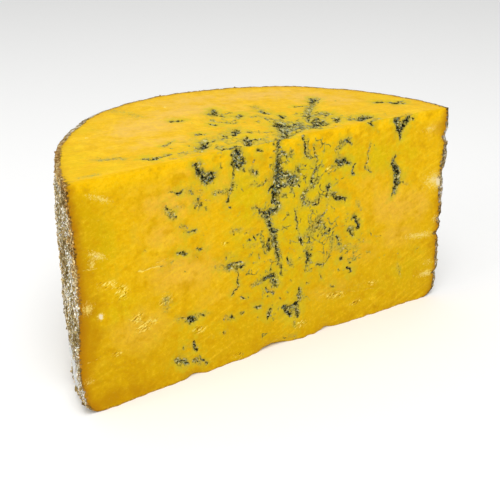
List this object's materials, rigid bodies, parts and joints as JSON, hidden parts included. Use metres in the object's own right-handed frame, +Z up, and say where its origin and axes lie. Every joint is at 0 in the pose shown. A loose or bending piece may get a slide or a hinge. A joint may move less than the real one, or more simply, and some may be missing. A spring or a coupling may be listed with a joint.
{
  "type": "blue cheese wedge",
  "caption": "Quarter of a tall blue-veined cheese drum: flat top and front cut faces of golden paste, with a rough rind round the back and a flat base it stands on.",
  "frame": {"origin": "middle of the flat base, on the surface that the cheese stands on", "axes": "+Z up, +X along the front cut face to the viewer's right, +Y from the front cut face towards the round rind"},
  "size_m": [0.2057, 0.1035, 0.1051],
  "materials": {
    "paste": "moist golden orange paste with blue-green veins and dark crevices",
    "rind": "dry, rough, mottled grey-brown and cream crust"
  },
  "bodies": {
    "root": {"cheese_wedge": "paste"}
  },
  "joints": []
}
